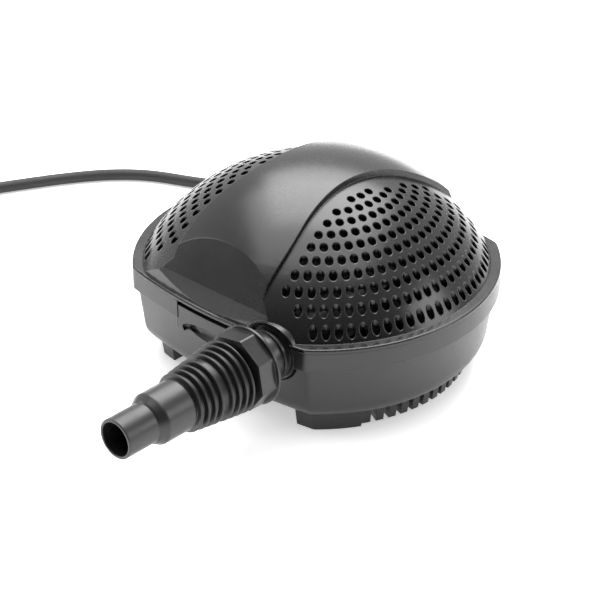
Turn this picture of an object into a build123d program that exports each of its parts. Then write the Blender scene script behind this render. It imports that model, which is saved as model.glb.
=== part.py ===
from build123d import *
import os
from math import atan2, cos, pi, radians, sin, sqrt, tan

# Fountain submersible pump: a domed strainer housing in two halves around a wet-running
# motor and volute, with a stepped hose adapter on a union nut and a rubber mains cable.
# Millimetres. +Z up, outlet towards -Y, origin on the floor under the middle of the dome.

# ---- housing plan -------------------------------------------------------------------
body_radius = 117.5          # round part of the rim
bow_radius = 355.0           # gently curved front of the rim
bow_front = 99.0             # how far the front reaches from the dome's axis
corner_radius = 8.0          # where the front meets the round
shell_wall = 2.8

# ---- housing heights ----------------------------------------------------------------
rim_height = 65.0            # parting plane between the two halves
skirt_height = 12.5          # band just under the parting plane
skirt_step = 3.0             # the wall stands back from the skirt by this much
wall_foot = 12.0             # underside of the lower shell
wall_lean = 7.0              # degrees the wall leans in towards the floor
wall_round = 14.0
ledge_thickness = 2.6
ledge_width = 2.4            # at the front; the dome leaves a wider one at the sides

# ---- dome ---------------------------------------------------------------------------
crown_radius = 131.0
crown_top = rim_height + 65.0
shoulder_angle = 40.0        # where the crown turns into the shoulder
dome_radius = body_radius - 6.5
saddle_lift = 4.0            # the saddle is the same dome moved up
saddle_edge = ((39, -97), (38, -86), (36.5, -64), (32, -42), (28.3, -19), (27.2, 0))
fascia_rim = 1.4             # the front panel's foot stands back from the rim by this much
fascia_fold = 15.0           # height above the rim of the soft fold across the panel
fascia_fold_back = 6.5       # how far the fold stands back from the front of the rim
fascia_slope = 26.0          # degrees from upright, above the fold

# ---- strainer holes -----------------------------------------------------------------
hole_radius = 2.6
hole_pitch = 7.6
hole_first_row = dome_radius - 4.0
hole_last_row = 38.0
hole_gap = 9.5               # between a row's first hole and the saddle's edge
hole_reach = 80.5            # no holes nearer the front or back than this

# ---- outlet -------------------------------------------------------------------------
outlet_x = 47.8
outlet_z = 56.0
adapter_tip_y = -219.0
outlet_bore = 10.5
step_25 = 12.5               # radius of the 25 mm step
step_32 = 16.0               # radius of the 32 mm step
rib_pitch = 5.0
rib_depth = 3.4
thread_radius = 16.5
thread_pitch = 3.0
screw_clearance = 0.08
neck_end_y = -117.0
gasket_thickness = 2.0
adapter_flange = 2.6
nut_front_y = -124.5
nut_back_y = -110.5
nut_radius = thread_radius + 6.1         # across the flats, halved
nut_flange_radius = nut_radius + 2.7
tail_radius = thread_radius - 2.1        # the adapter's neck inside the nut
pipe_radius = thread_radius - 1.3
pipe_bore = pipe_radius - 3.2
collar_radius = pipe_radius + 2.4
notch_radius = collar_radius + 1.2

# ---- pump ---------------------------------------------------------------------------
pump_y = 6.0
pump_z = 46.0
volute_radius = 30.0
volute_half = 17.0
chamber_radius = volute_radius - 3.5
motor_radius = volute_radius - 3.0
motor_left = -50.0
flange_thickness = 6.0
well_radius = 13.0
well_wall = 1.5
well_end = -36.0
magnet_radius = 12.2
magnet_length = 40.0
shaft_radius = 2.0
bearing_clearance = 0.05
impeller_radius = chamber_radius - 4.5
blade_count = 6
eye_radius = 11.0
cap_thickness = 4.0
flange_face = outlet_x - volute_half     # where the motor meets the volute
flange_back = flange_face - flange_thickness
foot_pad = 3.0               # the mounting pads reach this far behind the flange
mount_x = (flange_back - foot_pad + flange_face) / 2
mount_reach = 34.0           # from the pump's axis to each mounting screw

# ---- cable --------------------------------------------------------------------------
cable_radius = 4.2
cable_floor = cable_radius
hank_layers = 4              # even, so that the winding ends on the outside at the top
hank_columns = 6
hank_radius = 70.0           # to the middle of the turns

# ---- hinge and latch ----------------------------------------------------------------
hinge_y = bow_front + 4.5
hinge_x = 18.0
hinge_pin_radius = 1.5
hinge_clearance = 0.06
knuckle_radius = 4.2
knuckle_width = 9.0
knuckle_gap = 0.4
latch_half = 26.5
latch_top = rim_height - 3.2
latch_bottom = rim_height - 19.5
latch_thickness = 4.0
latch_gap = 0.5
latch_pivot_y = 3.3 - bow_front
latch_pivot_z = rim_height - 5.5
latch_pin_radius = 1.5

os.makedirs("parts", exist_ok=True)
parts = {}


def keep(name, item):
    solid = item.part if isinstance(item, BuildPart) else item
    solid.label = name
    parts[name] = solid
    return solid


def plan(inset, height=0.0):
    """Outline of the housing seen from above, the same front and back, moved inwards by inset."""
    round_r = body_radius - inset
    bow_r = bow_radius - inset
    bow_y = bow_radius - bow_front
    corner = max(corner_radius - inset / 2, 2)
    cy = ((round_r - corner) ** 2 - (bow_r - corner) ** 2 + bow_y ** 2) / (2 * bow_y)
    cx = sqrt((round_r - corner) ** 2 - cy ** 2)
    centre = Vector(cx, cy)
    out_round = centre.normalized()
    out_bow = (centre - Vector(0, bow_y)).normalized()
    on_round = centre + out_round * corner
    on_bow = centre + out_bow * corner
    middle = centre + (out_round + out_bow).normalized() * corner
    bow = (on_bow.X, on_bow.Y)
    bend = (middle.X, middle.Y)
    side = (on_round.X, on_round.Y)
    with BuildSketch(Plane.XY.offset(height)) as outline:
        with BuildLine() as quarter:
            ThreePointArc((0, bow_y - bow_r), (bow[0] / 2, bow_y - sqrt(bow_r ** 2 - bow[0] ** 2 / 4)), bow)
            ThreePointArc(bow, bend, side)
            angle = atan2(side[1], side[0]) / 2
            ThreePointArc(side, (round_r * cos(angle), round_r * sin(angle)), (round_r, 0))
            mirror(about=Plane.XZ)
            mirror(about=Plane.YZ)
        make_face()
    return outline.sketch


def prism(inset, low, high, lean=0.0):
    with BuildPart() as block:
        add(plan(inset, low))
        extrude(amount=high - low, taper=lean)
    return block.part


def dome(inset, lift=0.0):
    """The dome as a solid, its outer surface moved inwards by inset."""
    centre = crown_top - crown_radius
    foot = rim_height - 2
    with BuildPart() as cap:
        with BuildSketch(Plane.XZ) as half:
            with BuildLine():
                crown = CenterArc((0, centre), crown_radius - inset, 90, -shoulder_angle)
                shoulder = TangentArc(crown @ 1, (dome_radius - inset, rim_height + ledge_thickness),
                                      tangent=crown % 1)
                Polyline(shoulder @ 1, (dome_radius - inset, foot), (0, foot), crown @ 0)
            make_face()
        revolve(axis=Axis.Z)
    return Pos(0, 0, lift) * cap.part


def behind_fascia(inset):
    """Everything between the sloping panels at the front and the back."""
    foot = rim_height - 10
    fold = rim_height + fascia_fold
    top = crown_top + 20
    lean = (fascia_fold_back - fascia_rim) / fascia_fold
    fold_y = bow_front - fascia_fold_back - inset / cos(radians(fascia_slope))
    foot_y = fold_y + (fold - foot) * lean
    top_y = fold_y - (top - fold) * tan(radians(fascia_slope))
    with BuildPart() as space:
        with BuildSketch(Plane.YZ):
            with BuildLine():
                Polyline((foot_y, foot), (fold_y, fold), (top_y, top),
                         (-top_y, top), (-fold_y, fold), (-foot_y, foot), close=True)
            make_face()
        extrude(amount=150, both=True)
    return space.part


def saddle_zone(inset):
    """The strip between the two strainer fields, seen from above."""
    front = [(x - inset, y) for x, y in saddle_edge]
    right = front + [(x, -y) for x, y in reversed(front[:-1])]
    left = [(-x, y) for x, y in reversed(right)]
    with BuildPart() as strip:
        with BuildSketch(Plane.XY.offset(rim_height - 2)):
            with BuildLine():
                Spline(*right)
                Line(right[-1], left[0])
                Spline(*left)
                Line(left[-1], right[0])
            make_face()
        extrude(amount=90)
    return strip.part


def saddle_half_width(y):
    for (x0, y0), (x1, y1) in zip(saddle_edge, saddle_edge[1:]):
        if y0 <= -abs(y) <= y1:
            return x0 + (x1 - x0) * (-abs(y) - y0) / (y1 - y0)
    return body_radius


def hole_points():
    """Rows of holes round the dome's axis, each row starting at the saddle's edge."""
    points = []
    row = hole_first_row
    while row > hole_last_row:
        step = hole_pitch / row
        angle = -pi / 2
        while angle < pi / 2:
            x = row * cos(angle)
            y = row * sin(angle)
            clear = x - saddle_half_width(y) > hole_gap and abs(y) < hole_reach
            if clear:
                points += [(x, y), (-x, y)]
                angle += step
            else:
                angle += radians(0.25)
        row -= hole_pitch
    return points


def tube_y(x, z, radius, y0, y1):
    """A round bar along Y."""
    with BuildPart() as bar:
        with BuildSketch(Plane((x, y0, z), x_dir=(1, 0, 0), z_dir=(0, 1, 0))):
            Circle(radius)
        extrude(amount=y1 - y0)
    return bar.part


def tube_x(y, z, radius, x0, x1):
    """A round bar along X."""
    with BuildPart() as bar:
        with BuildSketch(Plane((x0, y, z), x_dir=(0, 1, 0), z_dir=(1, 0, 0))):
            Circle(radius)
        extrude(amount=x1 - x0)
    return bar.part


def turned_x(profile):
    """A ring or disc turned about the pump's axis from (x, radius) points."""
    with BuildPart() as ring:
        with BuildSketch(Plane((0, pump_y, pump_z), x_dir=(1, 0, 0), z_dir=(0, -1, 0))):
            with BuildLine():
                Polyline(*profile, close=True)
            make_face()
        revolve(axis=Axis((0, pump_y, pump_z), (1, 0, 0)))
    return ring.part


def block(x0, x1, y0, y1, z0, z1):
    return Pos((x0 + x1) / 2, (y0 + y1) / 2, (z0 + z1) / 2) * Box(x1 - x0, y1 - y0, z1 - z0)


# ---- upper shell --------------------------------------------------------------------
def shell_form(inset):
    """Dome, raised saddle, trimmed front and sloping front panel."""
    saddle = dome(inset, saddle_lift) & saddle_zone(inset)
    form = (dome(inset) + saddle) & prism(ledge_width + inset, rim_height - 4, crown_top + 10)
    return form & behind_fascia(inset)


def knuckle(x, radius, width):
    return tube_x(hinge_y, rim_height, radius, x - width / 2, x + width / 2)


def all_of(items):
    total = items[0]
    for item in items[1:]:
        total = total + item
    return total


with BuildPart() as ledge:
    add(plan(0, rim_height))
    extrude(amount=ledge_thickness)
    fillet(ledge.edges().filter_by(Plane.XY).group_by(Axis.Z)[-1], 1.1)

hood = tube_y(outlet_x, outlet_z, notch_radius + 2.2, -bow_front, -78) & prism(0.8, rim_height, rim_height + 40)
upper = ledge.part + (shell_form(0) & block(-150, 150, -150, 150, rim_height, 160)) + hood
upper = upper - shell_form(shell_wall)
upper = upper - tube_y(outlet_x, outlet_z, notch_radius, -130, -70)

with BuildPart() as hole_tools:
    with BuildSketch(Plane.XY.offset(rim_height + ledge_thickness + 1)):
        with Locations(*hole_points()):
            Circle(hole_radius)
    extrude(amount=80)
upper = upper - hole_tools.part

for side in (-1, 1):
    x = side * hinge_x
    arm = block(x - knuckle_width / 2, x + knuckle_width / 2, bow_front - 9, hinge_y,
                rim_height + 0.4, rim_height + ledge_thickness)
    upper = upper + (arm - shell_form(shell_wall)) + knuckle(x, knuckle_radius, knuckle_width)
for side in (-1, 1):
    upper = upper - knuckle(side * hinge_x, hinge_pin_radius + hinge_clearance, 30)
keep("upper_shell", upper)

# ---- lower shell --------------------------------------------------------------------
skirt_foot = rim_height - skirt_height
lean_in = (skirt_foot - wall_foot) * tan(radians(wall_lean))
with BuildPart() as wall:
    add(plan(skirt_step + lean_in, wall_foot))
    extrude(amount=skirt_foot - wall_foot, taper=-wall_lean)
    fillet(wall.edges().filter_by(Plane.XY).group_by(Axis.Z)[0], wall_round)
lower = wall.part + prism(0, skirt_foot, rim_height)
with BuildPart() as tub:
    add(plan(skirt_step + lean_in + shell_wall, wall_foot + 3))
    extrude(amount=skirt_foot - wall_foot - 3, taper=-wall_lean)
    fillet(tub.edges().filter_by(Plane.XY).group_by(Axis.Z)[0], wall_round - shell_wall)
hollow = tub.part + prism(skirt_step + shell_wall, skirt_foot - 1, rim_height + 1)
floor_top = wall_foot + 3
lower = lower - hollow

# base ring of upright ribs with slots between, solid feet at the corners
ring_out = 18.0
ring_in = 27.0
foot_lean = 8.0
rib_foot = 2.0
slot_width = 3.6
slot_step = 5.0
ring = prism(ring_out, rib_foot, wall_foot + 1, -foot_lean) - prism(ring_in, 0, 20)
ring = ring - block(-54, 54, -120, -50, 0, 20)
slots = []
for k in range(48):
    angle = -27 + k * slot_step
    if angle > 207:
        continue
    slots.append(Rot(0, 0, angle) * block(60, 115, -slot_width / 2, slot_width / 2, 0, wall_foot - 1))
ring = ring - slots
feet = []
for side in (-1, 1):
    feet.append(block(min(side * 54, side * 92), max(side * 54, side * 92), -90, -52, 0, wall_foot + 1))
    feet.append(block(min(side * 30, side * 58), max(side * 30, side * 58), 66, 98, 0, wall_foot + 1))
foot_band = prism(ring_out, 0, wall_foot + 1, -foot_lean) - prism(ring_in + 6, -1, 20)
feet = foot_band & all_of(feet)
lower = lower + ring + feet
for side in (-1, 1):
    for k in range(7):
        y = -42 + 14 * k
        lower = lower - block(min(side * 62, side * 82), max(side * 62, side * 82), y, y + 6, wall_foot - 2, 20)

# outlet notch
lower = lower - tube_y(outlet_x, outlet_z, notch_radius, -130, -70)

# latch pocket with a lining behind it and a finger scoop below
pocket_depth = 6.0
lining = (prism(pocket_depth, 40, rim_height) - prism(pocket_depth + 2, 39, rim_height + 1))
lining = lining & block(-latch_half - 2.4, latch_half + 2.4, -120, -60, 40, rim_height)
cheek = prism(0.6, skirt_foot - 7, rim_height) - prism(pocket_depth + 2, 30, rim_height + 1)
cheeks = cheek & (block(-latch_half - 2.4, -latch_half, -120, -60, 44, rim_height)
                  + block(latch_half, latch_half + 2.4, -120, -60, 44, rim_height))
lower = lower + lining + cheeks
pocket = prism(-2, latch_bottom - latch_gap, rim_height + 1) - prism(pocket_depth, 30, rim_height + 2)
pocket = pocket & block(-latch_half - latch_gap, latch_half + latch_gap, -120, -60, 30, rim_height + 2)
lower = lower - pocket
scoop = Pos(0, -bow_front + 2, latch_bottom + 2.5) * scale(Sphere(1), by=(23, 5.4, 6.5))
lower = lower - scoop
latch_bore = latch_pin_radius + hinge_clearance
lower = lower - tube_x(latch_pivot_y, latch_pivot_z, latch_bore, -latch_half - 1.9, latch_half + 1.9)

# bosses for the motor's feet
mount_points = ((mount_x, pump_y - mount_reach), (mount_x, pump_y + mount_reach))
mount_screw_radius = 1.6
motor_foot_top = 22.0
motor_foot_base = 18.0
for x, y in mount_points:
    lower = lower + Pos(x, y, (wall_foot + motor_foot_base) / 2) * Cylinder(4.5, motor_foot_base - wall_foot)
for x, y in mount_points:
    lower = lower - Pos(x, y, (wall_foot + 0.5 + 20) / 2) * Cylinder(mount_screw_radius, 20 - wall_foot - 0.5)

# hinge ears
for side in (-1, 1):
    for edge in (-1, 1):
        x = side * hinge_x + edge * (knuckle_width / 2 + knuckle_gap + 2)
        ear = block(x - 2, x + 2, bow_front - 10, hinge_y, rim_height - 7, rim_height - 0.4)
        ear = ear + knuckle(x, knuckle_radius, 4)
        lower = lower + (ear - hollow)
for side in (-1, 1):
    lower = lower - knuckle(side * hinge_x, hinge_pin_radius, 30)

# cable exit through the wall
cable_in = Vector(-42, 74, 34)
cable_out = Vector(-88, 120, 9)
cable_dir = (cable_out - cable_in).normalized()
exit_centre = cable_in + cable_dir * 19.7
grommet_radius = 8.0
boss_front = 7.0
bush_flange_radius = grommet_radius + 1.5
bush_flange = 3.0


def bar_along(centre, direction, radius, behind, ahead, end_radius=None):
    plane = Plane(origin=centre - direction * behind, z_dir=direction)
    with BuildPart() as bar:
        with BuildSketch(plane):
            Circle(radius)
        if end_radius:
            with BuildSketch(plane.offset(behind + ahead)):
                Circle(end_radius)
            loft()
        else:
            extrude(amount=behind + ahead)
    return bar.part


flange_seat = exit_centre + cable_dir * boss_front
lower = lower + (bar_along(exit_centre, cable_dir, grommet_radius + 3, 12, boss_front) - hollow)
lower = lower - bar_along(exit_centre, cable_dir, grommet_radius, 20, 20)
lower = lower - bar_along(flange_seat, cable_dir, bush_flange_radius, 0, 20)
keep("lower_shell", lower)

# ---- front latch --------------------------------------------------------------------
tab = prism(0.3, latch_bottom, latch_top) - prism(0.3 + latch_thickness, 30, rim_height + 2)
tab = tab & block(-latch_half, latch_half, -120, -60, latch_bottom, latch_top)
tab = tab - scoop
tab = tab + tube_x(latch_pivot_y, latch_pivot_z, latch_pin_radius, -latch_half - 1.4, -latch_half + 3)
tab = tab + tube_x(latch_pivot_y, latch_pivot_z, latch_pin_radius, latch_half - 3, latch_half + 1.4)
keep("front_latch", tab)

# ---- hinge pins ---------------------------------------------------------------------
pin_half = knuckle_width / 2 + knuckle_gap + 4.5
for side, name in ((-1, "hinge_pin_left"), (1, "hinge_pin_right")):
    keep(name, knuckle(side * hinge_x, hinge_pin_radius, 2 * pin_half))

# ---- motor housing ------------------------------------------------------------------
can_wall = 2.0
spigot = 3.2
seal_width = 1.6
seal_depth = 1.4
seal_x = flange_face + 0.9
spigot_radius = chamber_radius - 0.15
motor = turned_x((
    (motor_left, motor_radius), (motor_left, motor_radius - can_wall),
    (flange_back, motor_radius - can_wall), (flange_back, well_radius + well_wall),
    (well_end, well_radius + well_wall), (well_end, 0), (well_end + well_wall, 0),
    (well_end + well_wall, 4.0), (well_end + 6, 4.0), (well_end + 6, well_radius),
    (flange_face + spigot, well_radius), (flange_face + spigot, spigot_radius),
    (seal_x + seal_width, spigot_radius), (seal_x + seal_width, chamber_radius - seal_depth),
    (seal_x, chamber_radius - seal_depth), (seal_x, spigot_radius),
    (flange_face, spigot_radius), (flange_face, volute_radius),
    (flange_back, volute_radius), (flange_back, motor_radius)))
lug_ring = volute_radius + 2.5
lug_radius = 4.5
screw_radius = 1.5
lug_points = []
for angle in (45, 135, 225, 315):
    lug_points.append((pump_y + lug_ring * cos(radians(angle)), pump_z + lug_ring * sin(radians(angle))))
lugs = all_of([tube_x(y, z, lug_radius, flange_back, flange_face) for y, z in lug_points])
lugs = lugs - tube_x(pump_y, pump_z, chamber_radius, 0, 80)
disc_reach = sqrt(volute_radius ** 2 - (pump_z - motor_foot_top) ** 2)
foot_plates = []
for x0, reach in ((flange_back, disc_reach - 2), (flange_back - foot_pad, 28.5)):
    for side in (-1, 1):
        y0, y1 = sorted((pump_y + side * reach, pump_y + side * (mount_reach + 5)))
        foot_plates.append(block(x0, flange_face, y0, y1, motor_foot_base, motor_foot_top))
motor = motor + lugs + all_of(foot_plates)
for y, z in lug_points:
    motor = motor - tube_x(y, z, screw_radius, flange_back - 1, flange_face + 1)
for x, y in mount_points:
    motor = motor - Pos(x, y, 20) * Cylinder(mount_screw_radius, 12)
gland_x = -30.0
gland_start = pump_y + motor_radius - 1.5
gland_end = 41.0
motor = motor + (tube_y(gland_x, pump_z, 8.5, pump_y, gland_start + 6)
                 - tube_x(pump_y, pump_z, motor_radius - 0.5, -60, 0))
motor = motor - tube_y(gland_x, pump_z, 6.0, gland_start, gland_start + 10)
keep("motor_housing", motor)

# ---- stator, sealed in the housing --------------------------------------------------
core_left = -20.0
core_right = 10.0
core_inner = well_radius + well_wall
core_outer = motor_radius - can_wall
slot_count = 6
core_depth = core_outer - core_inner
core = turned_x(((core_left, core_inner), (core_left, core_outer),
                 (core_right, core_outer), (core_right, core_inner)))
windows = []
for k in range(slot_count):
    angle = 360 / slot_count * k
    window = block(core_left - 1, core_right + 1, -2.5, 2.5,
                   core_inner + 0.24 * core_depth, core_outer - 0.29 * core_depth)
    windows.append(Pos(0, pump_y, pump_z) * Rot(angle, 0, 0) * window)
keep("stator_core", core - windows)
coil_inner = core_inner + 0.8
coil_outer = core_outer - 1.6
coil_long = 9.0
for name, x0 in (("stator_coil_front", core_right), ("stator_coil_rear", core_left - coil_long)):
    with BuildPart() as coil:
        add(turned_x(((x0, coil_inner), (x0, coil_outer),
                      (x0 + coil_long, coil_outer), (x0 + coil_long, coil_inner))))
        fillet(coil.edges().filter_by(GeomType.CIRCLE), 1.5)
    keep(name, coil)
resin_left = motor_left + 1.0
keep("resin_plug", turned_x(((resin_left, 0), (resin_left, core_outer), (well_end, core_outer), (well_end, 0))))
cap_lip = 1.0
keep("motor_end_cap", turned_x((
    (motor_left - cap_thickness, 0), (motor_left - cap_thickness, motor_radius - 1.5),
    (motor_left - cap_thickness + 1.5, motor_radius), (motor_left, motor_radius),
    (motor_left, core_outer), (motor_left + cap_lip, core_outer), (motor_left + cap_lip, 0))))

# ---- rotor --------------------------------------------------------------------------
hub_radius = 6.0
rotor_bore = shaft_radius + bearing_clearance
magnet_left = well_end + 8.5
magnet_right = magnet_left + magnet_length
hub_left = magnet_left - 0.5
hub_right = 55.0
disc_left = flange_face + spigot + 1.6
disc_right = disc_left + 2.0
blade_right = 53.0
keep("rotor_magnet", turned_x((
    (magnet_left, hub_radius), (magnet_left, magnet_radius - 0.8), (magnet_left + 0.8, magnet_radius),
    (magnet_right - 0.8, magnet_radius), (magnet_right, magnet_radius - 0.8), (magnet_right, hub_radius))))
wheel = turned_x((
    (hub_left, rotor_bore), (hub_left, hub_radius), (disc_left, hub_radius), (disc_left, impeller_radius),
    (disc_right, impeller_radius), (disc_right, hub_radius), (hub_right - 1.5, hub_radius),
    (hub_right, hub_radius - 1.5), (hub_right, rotor_bore)))
blade = block(disc_right - 0.5, blade_right, -0.9, 0.9, hub_radius - 1.0, impeller_radius - 0.5)
blades = []
for k in range(blade_count):
    blades.append(Pos(0, pump_y, pump_z) * Rot(360 / blade_count * k, 0, 0) * blade)
wheel = wheel + blades
keep("impeller", wheel)

seat_radius = 4.0
rear_seat_left = well_end + well_wall
front_seat_left = hub_right + 1.4
front_seat_right = front_seat_left + 4.6
keep("rotor_shaft", tube_x(pump_y, pump_z, shaft_radius, rear_seat_left + 1.0, front_seat_right - 1.0))
keep("shaft_seat_rear", turned_x((
    (rear_seat_left, 0), (rear_seat_left, seat_radius), (rear_seat_left + 4.5, seat_radius),
    (rear_seat_left + 4.5, shaft_radius), (rear_seat_left + 1.0, shaft_radius), (rear_seat_left + 1.0, 0))))
keep("shaft_seat_front", turned_x((
    (front_seat_right, 0), (front_seat_right, seat_radius), (front_seat_left, seat_radius),
    (front_seat_left, shaft_radius), (front_seat_right - 1.0, shaft_radius), (front_seat_right - 1.0, 0))))

# ---- volute housing -----------------------------------------------------------------
volute_face = outlet_x + volute_half
front_wall = 3.5
spider_radius = seat_radius + 1.8
volute = tube_x(pump_y, pump_z, volute_radius, flange_face, volute_face)
volute = volute + tube_y(outlet_x, outlet_z, pipe_radius, neck_end_y, pump_y)
volute = volute + tube_y(outlet_x, outlet_z, thread_radius, neck_end_y, neck_end_y + 12)
volute = volute + tube_y(outlet_x, outlet_z, collar_radius, -92.0, -88.5)
volute = volute + tube_y(outlet_x, outlet_z, collar_radius - 1.0, -97.5, -95.5)
volute = volute + all_of([tube_x(y, z, lug_radius, flange_face, flange_face + 9) for y, z in lug_points])
volute = volute + tube_x(pump_y, pump_z, eye_radius + 2.5, volute_face, volute_face + 6)
volute = volute - tube_x(pump_y, pump_z, chamber_radius, flange_face - 1, volute_face - front_wall)
volute = volute - tube_y(outlet_x, outlet_z, pipe_bore, neck_end_y - 1, pump_y)
volute = volute - tube_x(pump_y, pump_z, eye_radius, flange_face, volute_face + 10)
spokes = [tube_x(pump_y, pump_z, spider_radius, front_seat_left, volute_face)]
for k in range(3):
    spoke = block(volute_face - front_wall, volute_face, -1.2, 1.2, spider_radius - 1, eye_radius + 1)
    spokes.append(Pos(0, pump_y, pump_z) * Rot(120 * k, 0, 0) * spoke)
volute = volute + spokes
volute = volute - tube_x(pump_y, pump_z, seat_radius, front_seat_left - 1, front_seat_right)
for y, z in lug_points:
    volute = volute - tube_x(y, z, screw_radius, flange_face - 1, flange_face + 8)
keep("volute_housing", volute)
keep("volute_seal", turned_x((
    (seal_x, chamber_radius - seal_depth), (seal_x, chamber_radius),
    (seal_x + seal_width, chamber_radius), (seal_x + seal_width, chamber_radius - seal_depth))))
head_radius = 3.0
head_height = 2.4


def screw(shank, reach, crown, crown_height):
    """Pan-head screw along +Z, the head's underside at z = 0, shank downwards."""
    with BuildPart() as pan:
        Cylinder(shank, reach, align=(Align.CENTER, Align.CENTER, Align.MAX))
        Cylinder(crown, crown_height, align=(Align.CENTER, Align.CENTER, Align.MIN))
        fillet(pan.edges().sort_by(Axis.Z)[-1], 0.8)
        with Locations((0, 0, crown_height)):
            Box(2 * crown - 1.8, 0.8, 1.6, mode=Mode.SUBTRACT)
            Box(0.8, 2 * crown - 1.8, 1.6, mode=Mode.SUBTRACT)
    return pan.part


for k, (y, z) in enumerate(lug_points):
    bolt = Pos(flange_back, y, z) * Rot(0, -90, 0) * screw(screw_radius, 13.0, head_radius, head_height)
    keep("volute_screw_%d" % (k + 1), bolt)
for k, (x, y) in enumerate(mount_points):
    keep("mount_screw_%d" % (k + 1),
         Pos(x, y, motor_foot_top) * screw(mount_screw_radius, 9.0, head_radius, head_height))

# rubber cradles between the motor and the floor
cradle_width = 12.0
for name, x in (("motor_cradle_left", -38.0), ("motor_cradle_right", 8.0)):
    cradle = block(x - cradle_width / 2, x + cradle_width / 2, pump_y - 20, pump_y + 20, floor_top, floor_top + 13)
    keep(name, cradle - tube_x(pump_y, pump_z, motor_radius, -70, 60))

# ---- hose adapter -------------------------------------------------------------------
groups = ((-168.0, 18.5, 20.5), (-145.7, 21.5, 23.4))
adapter_end = neck_end_y - gasket_thickness
with BuildPart() as adapter:
    with BuildSketch(Plane(origin=(outlet_x, 0, outlet_z), x_dir=(0, 1, 0), z_dir=(1, 0, 0))):
        with BuildLine():
            tip = Polyline((adapter_tip_y, outlet_bore + 0.3), (adapter_tip_y, step_25 - 0.5),
                           (adapter_tip_y + 0.5, step_25), (-196.5, step_25), (-195.5, step_25 + 0.9),
                           (-191.5, step_32 - 0.2), (-190.5, step_32), (-171.0, step_32))
            last = tip @ 1
            for start, first_radius, last_radius in groups:
                for k in range(4):
                    y = start + rib_pitch * k
                    peak = first_radius + (last_radius - first_radius) * k / 3
                    valley = peak - rib_depth
                    Line(last, (y - 1.2, valley))
                    Line((y - 1.2, valley), (y - 0.8, peak - 0.8))
                    ThreePointArc((y - 0.8, peak - 0.8), (y, peak), (y + 0.8, peak - 0.8))
                    crest = Line((y + 0.8, peak - 0.8), (y + 1.2, valley))
                    last = crest @ 1
            Polyline(last, (-126.8, tail_radius + 4.0), (-126.2, tail_radius),
                     (adapter_end - adapter_flange, tail_radius),
                     (adapter_end - adapter_flange, thread_radius - 0.2),
                     (adapter_end, thread_radius - 0.2), (adapter_end, pipe_bore),
                     (-165.0, pipe_bore), (-185.0, outlet_bore), (adapter_tip_y + 0.3, outlet_bore),
                     tip @ 0)
        make_face()
    revolve(axis=Axis((outlet_x, 0, outlet_z), (0, 1, 0)))
keep("hose_adapter", adapter)

# ---- union nut ----------------------------------------------------------------------
nut_lip = 2.4
nut_bore = thread_radius + screw_clearance
with BuildPart() as nut:
    with BuildSketch(Plane((outlet_x, nut_front_y, outlet_z), x_dir=(1, 0, 0), z_dir=(0, 1, 0))):
        RegularPolygon(radius=nut_radius, side_count=8, major_radius=False, rotation=13)
        fillet(vertices(), 2.0)
    extrude(amount=nut_back_y - nut_front_y)
    with BuildSketch(Plane((outlet_x, nut_back_y - 1.8, outlet_z), x_dir=(1, 0, 0), z_dir=(0, 1, 0))):
        Circle(nut_flange_radius)
    extrude(amount=1.8)
body = nut.part
body = body - tube_y(outlet_x, outlet_z, nut_bore, nut_front_y + nut_lip, nut_back_y + 1)
body = body - tube_y(outlet_x, outlet_z, tail_radius + screw_clearance, nut_front_y - 1, nut_back_y)
keep("union_nut", body)
keep("outlet_gasket", tube_y(outlet_x, outlet_z, thread_radius - 0.4, adapter_end, neck_end_y)
     - tube_y(outlet_x, outlet_z, pipe_bore, adapter_end - 1, neck_end_y + 1))

# ---- cable gland, exit bush and cable -----------------------------------------------
keep("cable_gland", tube_y(gland_x, pump_z, 6.0, gland_start, gland_start + 6)
     + tube_y(gland_x, pump_z, 7.6, gland_start + 6, gland_end)
     - tube_y(gland_x, pump_z, cable_radius, gland_start - 1, gland_end + 1))
sleeve_start = flange_seat + cable_dir * bush_flange
bush = bar_along(exit_centre, cable_dir, grommet_radius, 8, boss_front)
bush = bush + bar_along(flange_seat, cable_dir, bush_flange_radius, 0, bush_flange)
bush = bush + bar_along(sleeve_start, cable_dir, grommet_radius - 1, 0, 24, cable_radius + 1.0)
bush = bush - bar_along(exit_centre, cable_dir, cable_radius, 30, 50)
keep("cable_bush", bush)

# The cable leaves the motor's gland, passes the bush, drops to the floor and runs off to
# one side into a tied hank; its other end carries the plug.
hank_centre = Vector(-440, -70)
hank_half = hank_columns * cable_radius
hank_height = 2 * hank_layers * cable_radius
strand = hank_radius + hank_half - cable_radius
cable_route = (
    Vector(gland_x, gland_end, pump_z), Vector(-33, 58, 42), cable_in, cable_out,
    Vector(-122, 133, cable_floor), Vector(-158, 131, cable_floor), Vector(-192, 120, cable_floor),
    Vector(-224, 104, cable_floor), Vector(-255, 91, cable_floor), Vector(-278, 71, cable_floor),
    Vector(-296, 46, cable_floor), Vector(-312, 18, cable_floor), Vector(-328, -12, cable_floor),
    Vector(-342, -41, cable_floor), Vector(hank_centre.X + strand, hank_centre.Y, cable_floor))
tail_route = (
    Vector(hank_centre.X - strand, hank_centre.Y, hank_height - cable_radius),
    Vector(-531.5, -44, 28.6), Vector(-533, -18, 19.5), Vector(-536, 8, 8.5),
    Vector(-541, 34, cable_floor), Vector(-548, 60, 7), Vector(-555, 82, 13))
plug_radius = 18.0


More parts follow.
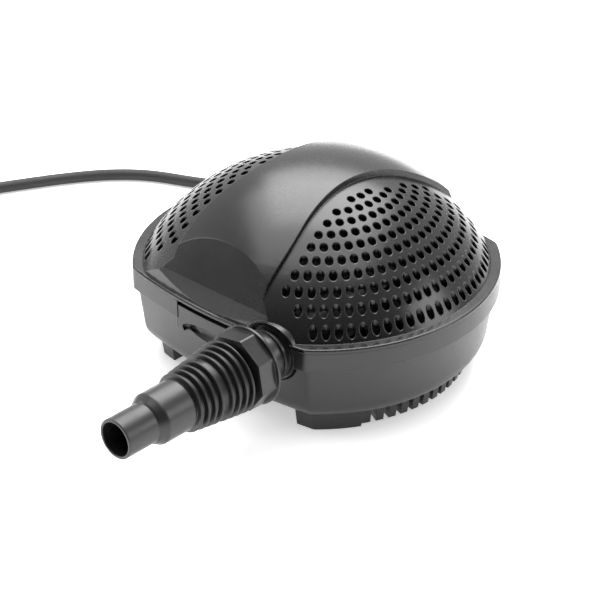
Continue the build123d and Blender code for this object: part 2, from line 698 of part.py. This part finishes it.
def cable_tube(route, name):
    """Straight runs joined by the largest arcs that fit; prints the radii and the volume's ratio."""
    radii = []
    for before, here, after in zip(route, route[1:], route[2:]):
        turn = radians((here - before).get_angle(after - here))
        run = min((here - before).length, (after - here).length)
        radii.append(0.45 * run / tan(turn / 2))
    with BuildPart() as tube:
        with BuildLine() as path:
            FilletPolyline(*route, radius=radii)
        start = path.line @ 0
        heading = path.line % 0
        with BuildSketch(Plane(origin=start, z_dir=heading)):
            Circle(cable_radius)
        sweep()
    length = sum(edge.length for edge in path.edges())
    ratio = tube.part.volume / (pi * cable_radius ** 2 * length)
    print(name, "length", round(length), "radii", [round(r) for r in radii], "ratio", round(ratio, 4))
    keep(name, tube)
    return path.line


cable_tube(cable_route, "power_cable")
tail_line = cable_tube(tail_route, "power_cable_tail")
with BuildPart() as hank:
    with BuildSketch(Plane.XZ.offset(-hank_centre.Y)):
        with Locations((hank_centre.X + hank_radius, hank_height / 2)):
            RectangleRounded(2 * hank_half, hank_height, 8)
    revolve(axis=Axis((hank_centre.X, hank_centre.Y, 0), (0, 0, 1)))
keep("cable_hank", hank)

# ---- plug ---------------------------------------------------------------------------
plug_start = tail_line @ 1
plug_dir = (tail_line % 1)
plug_dir = Vector(plug_dir.X, plug_dir.Y, 0).normalized()
plug_axis_start = Vector(plug_start.X, plug_start.Y, plug_radius)
plug_plane = Plane(origin=plug_axis_start, x_dir=Vector(-plug_dir.Y, plug_dir.X, 0), z_dir=plug_dir)
plug_length = 38.0
relief_length = 26.0
pin_length = 19.0
pin_radius = 2.4
pin_spacing = 19.0
relief_plane = Plane(origin=plug_start, z_dir=tail_line % 1)
with BuildPart() as plug:
    with BuildSketch(relief_plane):
        Circle(cable_radius + 1.0)
    with BuildSketch(plug_plane.offset(relief_length)):
        Circle(plug_radius * 0.62)
    loft()
    with BuildSketch(plug_plane.offset(relief_length)):
        Circle(plug_radius * 0.72)
    with BuildSketch(plug_plane.offset(relief_length + 14)):
        Circle(plug_radius)
    loft()
    with BuildSketch(plug_plane.offset(relief_length + 14)):
        Circle(plug_radius)
    extrude(amount=plug_length - 14)
    with BuildSketch(plug_plane.offset(relief_length + plug_length - 2)):
        with Locations((-pin_spacing / 2, 0), (pin_spacing / 2, 0)):
            Circle(pin_radius)
    extrude(amount=3, mode=Mode.SUBTRACT)
keep("plug_body", plug)
for name, offset_x in (("plug_pin_left", -pin_spacing / 2), ("plug_pin_right", pin_spacing / 2)):
    with BuildPart() as pin:
        with BuildSketch(plug_plane.offset(relief_length + plug_length - 2)):
            with Locations((offset_x, 0)):
                Circle(pin_radius)
        extrude(amount=pin_length + 2)
        fillet(pin.faces().sort_by(Axis(plug_axis_start, plug_dir))[-1].edges(), 1.2)
    keep(name, pin)

for name, solid in parts.items():
    export_step(solid, "parts/%s.step" % name)
    print(name, len(solid.solids()), round(solid.volume), solid.is_valid)
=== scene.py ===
import bpy, math
from mathutils import Vector, Matrix


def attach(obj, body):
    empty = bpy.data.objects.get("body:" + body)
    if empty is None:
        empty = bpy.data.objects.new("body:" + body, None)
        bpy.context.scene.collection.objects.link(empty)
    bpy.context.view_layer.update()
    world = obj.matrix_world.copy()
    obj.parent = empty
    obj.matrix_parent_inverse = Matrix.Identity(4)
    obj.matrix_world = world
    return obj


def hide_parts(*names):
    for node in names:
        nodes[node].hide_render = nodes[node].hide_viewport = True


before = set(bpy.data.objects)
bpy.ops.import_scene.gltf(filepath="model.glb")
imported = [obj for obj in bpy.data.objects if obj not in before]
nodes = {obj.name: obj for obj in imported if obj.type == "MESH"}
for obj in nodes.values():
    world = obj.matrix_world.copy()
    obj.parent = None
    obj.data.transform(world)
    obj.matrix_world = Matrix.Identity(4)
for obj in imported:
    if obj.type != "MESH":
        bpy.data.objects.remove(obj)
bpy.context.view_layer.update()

CAMERA_AT = (0.7527, -0.82735, 0.68385)
LENS_MM, SENSOR_MM = 120.0, 36.0
TENT_BRIGHT_SIDE = (-0.55, 0.60, 0.58)
TENT_DIM, TENT_BRIGHT = 0.06, 1.05
FLOOR_HALF, FLOOR_DROP = 6.0, 0.0002
FLOOR_GLOW = 0.45
scene = bpy.context.scene

# ---- camera: looks down on the front right, at the azimuth and elevation below --------
AZ, EL = math.radians(42.84), math.radians(30.16)
right = Vector((math.cos(AZ), math.sin(AZ), 0))
up = Vector((-math.sin(AZ) * math.sin(EL), math.cos(AZ) * math.sin(EL), math.cos(EL)))
back = Vector((math.sin(AZ) * math.cos(EL), -math.cos(AZ) * math.cos(EL), math.sin(EL)))
cam_data = bpy.data.cameras.new("camera")
cam_data.lens = LENS_MM
cam_data.sensor_width = SENSOR_MM
cam_data.clip_start = 0.05
cam_data.clip_end = 30
cam = bpy.data.objects.new("camera", cam_data)
turn = Matrix((right, up, back)).transposed().to_4x4()
cam.matrix_world = Matrix.Translation(CAMERA_AT) @ turn
scene.collection.objects.link(cam)
scene.camera = cam


# ---- materials --------------------------------------------------------------------
class Nodes:
    """A material's node tree with short helpers."""

    def __init__(self, name):
        self.mat = bpy.data.materials.new(name)
        self.mat.use_nodes = True
        self.tree = self.mat.node_tree
        self.bsdf = self.tree.nodes["Principled BSDF"]
        self.coord = self.tree.nodes.new("ShaderNodeTexCoord").outputs["Object"]

    def add(self, kind, **values):
        node = self.tree.nodes.new(kind)
        for key, value in values.items():
            if key in node.inputs:
                node.inputs[key].default_value = value
            else:
                setattr(node, key, value)
        return node

    def link(self, a, b):
        self.tree.links.new(a, b)

    def noise(self, scale, detail=3.0, rough=0.55, vector=None):
        n = self.add("ShaderNodeTexNoise", Scale=scale, Detail=detail, Roughness=rough)
        self.link(vector or self.coord, n.inputs["Vector"])
        return n.outputs["Fac"]

    def map(self, value, a, b, c, d):
        n = self.add("ShaderNodeMapRange")
        n.inputs["From Min"].default_value = a
        n.inputs["From Max"].default_value = b
        n.inputs["To Min"].default_value = c
        n.inputs["To Max"].default_value = d
        self.link(value, n.inputs["Value"])
        return n.outputs["Result"]

    def math(self, op, a, b):
        n = self.add("ShaderNodeMath", operation=op)
        for k, v in enumerate((a, b)):
            if isinstance(v, (int, float)):
                n.inputs[k].default_value = v
            else:
                self.link(v, n.inputs[k])
        return n.outputs[0]

    def mix(self, fac, a, b):
        n = self.add("ShaderNodeMix", data_type="RGBA")
        if isinstance(fac, (int, float)):
            n.inputs["Factor"].default_value = fac
        else:
            self.link(fac, n.inputs["Factor"])
        for key, v in (("A", a), ("B", b)):
            s = [i for i in n.inputs if i.name == key and i.type == "RGBA"][0]
            if isinstance(v, tuple):
                s.default_value = v
            else:
                self.link(v, s)
        return [o for o in n.outputs if o.type == "RGBA"][0]

    def edge_wear(self, radius=0.0012):
        """1 on convex edges: the rounded normal leaves the flat one there."""
        bevel = self.add("ShaderNodeBevel", samples=6)
        bevel.inputs["Radius"].default_value = radius
        geo = self.add("ShaderNodeNewGeometry")
        dot = self.add("ShaderNodeVectorMath", operation="DOT_PRODUCT")
        self.link(bevel.outputs["Normal"], dot.inputs[0])
        self.link(geo.outputs["Normal"], dot.inputs[1])
        return self.map(dot.outputs["Value"], 0.995, 0.85, 0.0, 1.0), bevel.outputs["Normal"]


def plastic(name, dark, light, rough, rough_spread, grain, grain_depth, coat=0.0, coat_rough=0.3,
            edge=None, specular=0.5, bevel=0.0008):
    m = Nodes(name)
    broad = m.noise(9.0, 4.0, 0.6)
    fine = m.noise(420.0, 2.0, 0.5)
    base = m.mix(m.map(broad, 0.3, 0.7, 0.0, 1.0), dark, light)
    wear, soft = m.edge_wear(bevel)
    scuffs = m.math("MULTIPLY", wear, m.map(m.noise(60.0, 5.0, 0.65), 0.42, 0.66, 0.15, 1.0))
    worn = edge or tuple(min(1, c * 2.6) for c in light[:3]) + (1,)
    base = m.mix(m.math("MULTIPLY", scuffs, 0.75), base, worn)
    m.link(base, m.bsdf.inputs["Base Color"])
    smear = m.noise(26.0, 5.0, 0.62)
    r = m.map(smear, 0.3, 0.72, rough - rough_spread, rough + rough_spread)
    r = m.math("ADD", r, m.map(fine, 0.3, 0.7, -0.02, 0.02))
    m.link(m.math("ADD", r, m.math("MULTIPLY", wear, -0.04)), m.bsdf.inputs["Roughness"])
    m.bsdf.inputs["Specular IOR Level"].default_value = specular
    m.bsdf.inputs["Coat Weight"].default_value = coat
    m.bsdf.inputs["Coat Roughness"].default_value = coat_rough
    bump = m.add("ShaderNodeBump", Strength=0.35, Distance=grain_depth)
    tex = m.noise(grain, 3.0, 0.6)
    m.link(tex, bump.inputs["Height"])
    m.link(soft, bump.inputs["Normal"])
    m.link(bump.outputs["Normal"], m.bsdf.inputs["Normal"])
    return m.mat


def grey(v, tint=0.0):
    return (v, v, v * (1 + tint), 1.0)


housing = plastic("housing_gloss", grey(0.005, 0.03), grey(0.007, 0.03), 0.25, 0.04, 900.0, 0.00004,
                  edge=grey(0.03))
base_mat = plastic("base_satin", grey(0.008, 0.03), grey(0.012, 0.03), 0.36, 0.06, 800.0, 0.00010,
                   edge=grey(0.05))
adapter_mat = plastic("adapter_satin", grey(0.008, 0.02), grey(0.012, 0.02), 0.34, 0.07, 700.0, 0.00012,
                      edge=grey(0.05))
motor_mat = plastic("motor_satin", grey(0.018), grey(0.026), 0.5, 0.06, 600.0, 0.0001)
rubber = plastic("rubber", grey(0.012), grey(0.018), 0.7, 0.08, 900.0, 0.0001, specular=0.35)
cable_mat = plastic("cable_rubber", grey(0.022), grey(0.03), 0.62, 0.06, 1400.0, 0.00008, specular=0.35)
resin = plastic("resin", (0.03, 0.027, 0.022, 1), (0.045, 0.04, 0.034, 1), 0.35, 0.1, 200.0, 0.0001)
ferrite = plastic("ferrite", grey(0.03), grey(0.045), 0.55, 0.08, 1200.0, 0.0001)
grey_plastic = plastic("impeller_plastic", grey(0.12, 0.05), grey(0.15, 0.05), 0.45, 0.07, 700.0, 0.0001)
ceramic = plastic("ceramic", (0.75, 0.73, 0.68, 1), (0.82, 0.8, 0.75, 1), 0.2, 0.04, 500.0, 0.00002)


def metal(name, colour, rough, streak):
    m = Nodes(name)
    m.bsdf.inputs["Metallic"].default_value = 1.0
    stretch = m.add("ShaderNodeMapping")
    stretch.inputs["Scale"].default_value = streak
    m.link(m.coord, stretch.inputs["Vector"])
    n = m.noise(300.0, 4.0, 0.6, stretch.outputs["Vector"])
    m.link(m.mix(m.map(n, 0.3, 0.7, 0, 1), tuple(c * 0.85 for c in colour) + (1,), colour + (1,)),
           m.bsdf.inputs["Base Color"])
    m.link(m.map(n, 0.3, 0.7, rough - 0.08, rough + 0.1), m.bsdf.inputs["Roughness"])
    bump = m.add("ShaderNodeBump", Strength=0.2, Distance=0.00005)
    m.link(n, bump.inputs["Height"])
    m.link(bump.outputs["Normal"], m.bsdf.inputs["Normal"])
    return m.mat


steel = metal("steel", (0.6, 0.6, 0.61), 0.3, (1, 1, 6))
copper = metal("copper_winding", (0.72, 0.34, 0.16), 0.28, (40, 1, 1))
lamination = metal("lamination", (0.32, 0.32, 0.33), 0.4, (30, 1, 1))
pin_metal = metal("pin_metal", (0.74, 0.7, 0.62), 0.25, (1, 1, 1))

paint = {
    "upper_shell": housing, "lower_shell": base_mat, "front_latch": base_mat,
    "hinge_pin_left": steel, "hinge_pin_right": steel, "motor_housing": motor_mat, "motor_end_cap": motor_mat,
    "stator_core": lamination, "stator_coil_front": copper, "stator_coil_rear": copper, "resin_plug": resin,
    "rotor_magnet": ferrite, "impeller": grey_plastic, "rotor_shaft": ceramic, "volute_housing": adapter_mat,
    "hose_adapter": adapter_mat, "union_nut": adapter_mat,
    "plug_pin_left": pin_metal, "plug_pin_right": pin_metal,
}
for name, obj in nodes.items():
    if name.startswith(("volute_screw", "mount_screw")):
        mat = steel
    else:
        mat = paint.get(name, rubber)
    obj.data.materials.clear()
    obj.data.materials.append(mat)

# ---- cable: out of the gland, through the bush, over the floor and into a coiled hank ------
CABLE_R = 0.0042
FLOOR = CABLE_R
HANK = Vector((-0.440, -0.070, 0))
HANK_RADIUS = 0.070
COLUMNS, LAYERS, PER_TURN = 6, 4, 16
STRAND = HANK_RADIUS + (COLUMNS - 1) * CABLE_R
cable_route = [
    (-0.030, 0.041, 0.046), (-0.033, 0.058, 0.042), (-0.042, 0.074, 0.034), (-0.088, 0.120, 0.009),
    (-0.122, 0.133, FLOOR), (-0.158, 0.131, FLOOR), (-0.192, 0.120, FLOOR), (-0.224, 0.104, FLOOR),
    (-0.255, 0.091, FLOOR), (-0.278, 0.071, FLOOR), (-0.296, 0.046, FLOOR), (-0.312, 0.018, FLOOR),
    (-0.328, -0.012, FLOOR), (-0.342, -0.041, FLOOR), (HANK.x + STRAND, HANK.y, FLOOR)]
tail_route = [
    (-0.5315, -0.044, 0.0286), (-0.533, -0.018, 0.0195), (-0.536, 0.008, 0.0085),
    (-0.541, 0.034, FLOOR), (-0.548, 0.060, 0.007), (-0.555, 0.082, 0.013)]


def hank_turns():
    """Turns side by side from the outside in, then a layer up and out again, the crossings apart."""
    turns, step, column, layer = [], 0, 0.0, 0.0

    def run(count, across, upwards):
        nonlocal step, column, layer
        for k in range(count):
            t = (k + 1) / count
            ease = t * t * (3 - 2 * t)
            step += 1
            angle = -2 * math.pi * step / PER_TURN
            r = (STRAND - (column + across * ease) * 2 * CABLE_R) / math.cos(math.pi / PER_TURN)
            turns.append((HANK.x + r * math.cos(angle), HANK.y + r * math.sin(angle),
                          FLOOR + (layer + upwards * ease) * 2 * CABLE_R))
        column += across
        layer += upwards

    quarter = PER_TURN // 4
    for k in range(LAYERS):
        inwards = 1 if k % 2 == 0 else -1
        for c in range(COLUMNS - 1):
            run(2 * quarter if k and c == 0 else 3 * quarter, 0, 0)
            run(quarter, inwards, 0)
        if k < LAYERS - 1:
            run(2 * quarter, 0, 0)
            run(quarter, 0, 1)
    return turns


def tube_curve(name, points, radius, material):
    """A round cord along a NURBS line through the points' hull, closed at both ends."""
    curve = bpy.data.curves.new(name, "CURVE")
    curve.dimensions = "3D"
    curve.bevel_depth = radius
    curve.bevel_resolution = 5
    curve.resolution_u = 8
    curve.use_fill_caps = True
    spline = curve.splines.new("NURBS")
    spline.points.add(len(points) - 1)
    for p, co in zip(spline.points, points):
        p.co = (*co, 1)
    spline.order_u = 3
    spline.use_endpoint_u = True
    obj = bpy.data.objects.new(name, curve)
    obj.data.materials.append(material)
    scene.collection.objects.link(obj)
    return obj


cable = tube_curve("mains_cable", cable_route + hank_turns() + tail_route, CABLE_R, cable_mat)
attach(cable, "base")
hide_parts("power_cable", "power_cable_tail", "cable_hank")

# ---- floor and light --------------------------------------------------------------
fm = bpy.data.materials.new("floor")
fm.use_nodes = True
fb = fm.node_tree.nodes["Principled BSDF"]
fb.inputs["Base Color"].default_value = (0.93, 0.93, 0.93, 1)
fb.inputs["Roughness"].default_value = 0.55
fb.inputs["Emission Color"].default_value = (1, 1, 1, 1)
fb.inputs["Emission Strength"].default_value = FLOOR_GLOW
mesh = bpy.data.meshes.new("floor")
corners = [(x * FLOOR_HALF, y * FLOOR_HALF, -FLOOR_DROP) for x, y in ((-1, -1), (1, -1), (1, 1), (-1, 1))]
mesh.from_pydata(corners, [], [(0, 1, 2, 3)])
floor = bpy.data.objects.new("floor", mesh)
floor.data.materials.append(fm)
scene.collection.objects.link(floor)

# ---- studio: a pale tent, brighter above and behind to the left, dimmer in front ------------
world = bpy.data.worlds.new("world")
scene.world = world
world.use_nodes = True
wt = world.node_tree
sky = wt.nodes["Background"]
sky.inputs["Strength"].default_value = 1.0
geo = wt.nodes.new("ShaderNodeNewGeometry")
lobe = wt.nodes.new("ShaderNodeVectorMath")
lobe.operation = "DOT_PRODUCT"
lobe.inputs[1].default_value = TENT_BRIGHT_SIDE
wt.links.new(geo.outputs["Incoming"], lobe.inputs[0])
tent = wt.nodes.new("ShaderNodeMapRange")
tent.interpolation_type = "SMOOTHSTEP"
tent.inputs["From Min"].default_value = 0.5
tent.inputs["From Max"].default_value = -0.9
tent.inputs["To Min"].default_value = TENT_DIM
tent.inputs["To Max"].default_value = TENT_BRIGHT
wt.links.new(lobe.outputs["Value"], tent.inputs["Value"])
wt.links.new(tent.outputs["Result"], sky.inputs["Color"])


def area(name, loc, target, size, power, size_y=None):
    data = bpy.data.lights.new(name, "AREA")
    data.shape = "RECTANGLE"
    data.size = size
    data.size_y = size_y or size
    data.energy = power
    obj = bpy.data.objects.new(name, data)
    obj.location = loc
    obj.rotation_euler = (Vector(target) - Vector(loc)).to_track_quat("-Z", "Y").to_euler()
    scene.collection.objects.link(obj)


area("key", (-0.55, 0.75, 1.6), (0, 0, 0.08), 1.5, 34)
area("overhead", (-0.4, 0.4, 2.6), (0, -0.1, 0), 3.0, 85)
area("right", (1.5, 0.9, 0.7), (0, 0, 0.05), 0.8, 9)
area("left", (-1.3, -0.9, 0.7), (0, 0, 0.05), 0.8, 7)
scene.view_settings.view_transform = "Standard"
